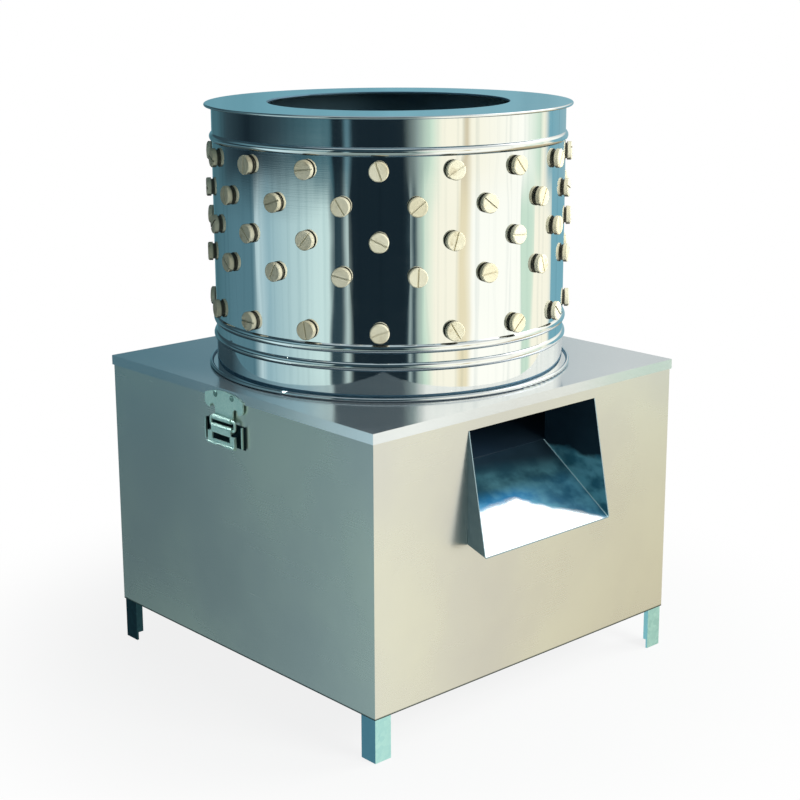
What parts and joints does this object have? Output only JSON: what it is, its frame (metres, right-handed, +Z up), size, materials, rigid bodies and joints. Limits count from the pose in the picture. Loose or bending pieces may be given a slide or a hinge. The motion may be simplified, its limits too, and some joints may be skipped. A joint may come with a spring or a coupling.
{
  "type": "poultry plucker",
  "caption": "Drum poultry plucker: rubber-fingered steel drum on a boxed stand with feather chute, over a belt-driven spinning fingered plate.",
  "frame": {"origin": "on the floor under the drum's axis, at the middle of the object's box", "axes": "+Z up along the drum's axis, -Y towards the feather chute, +X to the right as seen from the chute"},
  "size_m": [0.6002, 0.64, 0.814],
  "materials": {
    "drum_steel": "mirror-polished stainless sheet",
    "lid_steel": "satin stainless sheet",
    "panel_steel": "satin stainless sheet",
    "chute_steel": "bright stainless sheet",
    "leg_steel": "stainless angle iron",
    "frame_steel": "grey painted angle iron",
    "zinc_steel": "bright zinc plate",
    "bolt_steel": "zinc-plated bolts",
    "finger_rubber": "matt natural rubber",
    "cast_grey": "grey cast iron",
    "shaft_steel": "ground steel",
    "plate_steel": "brushed stainless plate",
    "motor_paint": "blue-grey enamel",
    "belt_rubber": "black rubber",
    "black_plastic": "black moulded plastic"
  },
  "bodies": {
    "base": {"front_panel": "panel_steel", "rear_panel": "panel_steel", "left_panel": "panel_steel", "right_panel": "panel_steel", "chute": "chute_steel", "feather_tray": "chute_steel", "shaft_collar": "chute_steel", "leg_front_left": "leg_steel", "leg_front_right": "leg_steel", "leg_rear_left": "leg_steel", "leg_rear_right": "leg_steel", "lower_rails": "frame_steel", "upper_rails": "frame_steel", "beam_rails": "frame_steel", "cross_beam": "frame_steel", "motor_rails": "frame_steel", "motor_plate": "frame_steel", "latch_bases": "zinc_steel", "frame_bolts": "bolt_steel", "motor_bolts": "bolt_steel", "spindle_housing": "cast_grey", "upper_bearing": "shaft_steel", "lower_bearing": "shaft_steel", "motor_body": "motor_paint", "motor_end_bell": "motor_paint", "motor_fan_cover": "motor_paint", "terminal_box": "motor_paint", "terminal_lid": "motor_paint", "drive_belts": "belt_rubber", "cable_gland": "black_plastic"},
    "rotor": {"main_shaft": "shaft_steel", "driven_pulley": "cast_grey", "pulley_bolt": "bolt_steel", "plate_hub": "cast_grey", "rotor_plate": "plate_steel", "plate_bolts": "bolt_steel", "plate_cap": "plate_steel", "plate_fingers_outer": "finger_rubber", "plate_fingers_middle": "finger_rubber", "plate_fingers_inner": "finger_rubber"},
    "motor_rotor": {"motor_shaft": "shaft_steel", "motor_pulley": "cast_grey", "motor_fan": "black_plastic"},
    "cover": {"lid": "lid_steel", "drum_shell": "drum_steel", "drum_foot_ring": "drum_steel", "drum_rim": "drum_steel", "wall_fingers_row_1": "finger_rubber", "wall_fingers_row_2": "finger_rubber", "wall_fingers_row_3": "finger_rubber", "wall_fingers_row_4": "finger_rubber", "wall_fingers_row_5": "finger_rubber", "latch_keepers": "zinc_steel", "keeper_rivets": "zinc_steel"},
    "latch_link_left": {"latch_link_left": "zinc_steel"},
    "latch_link_right": {"latch_link_right": "zinc_steel"},
    "latch_lever_left": {"latch_lever_left": "zinc_steel"},
    "latch_lever_right": {"latch_lever_right": "zinc_steel"}
  },
  "joints": [
    {"name": "plate_spin", "type": "hinge", "parent": "base", "child": "rotor", "pos_m": [0, 0, 0.44], "axis": [0, 0, 1], "continuous": true},
    {"name": "motor_spin", "type": "hinge", "parent": "base", "child": "motor_rotor", "pos_m": [0, 0.185, 0.1], "axis": [0, 0, 1], "continuous": true},
    {"name": "cover_lift", "type": "slide", "parent": "base", "child": "cover", "axis": [0, 0, 1], "range_m": [0, 0.25]},
    {"name": "latch_link_left_swing", "type": "hinge", "parent": "cover", "child": "latch_link_left", "pos_m": [-0.29405, 0.013, 0.401], "axis": [0, 1, 0], "range_deg": [0, 75]},
    {"name": "latch_lever_left_swing", "type": "hinge", "parent": "latch_link_left", "child": "latch_lever_left", "pos_m": [-0.29405, 0.013, 0.388], "axis": [0, 1, 0], "range_deg": [0, 110]},
    {"name": "latch_link_right_swing", "type": "hinge", "parent": "cover", "child": "latch_link_right", "pos_m": [0.29405, 0.013, 0.401], "axis": [0, -1, 0], "range_deg": [0, 75]},
    {"name": "latch_lever_right_swing", "type": "hinge", "parent": "latch_link_right", "child": "latch_lever_right", "pos_m": [0.29405, 0.013, 0.388], "axis": [0, -1, 0], "range_deg": [0, 110]}
  ],
  "couplings": [
    {"joint": "motor_spin", "follows": "plate_spin", "ratio": 4.3333}
  ]
}
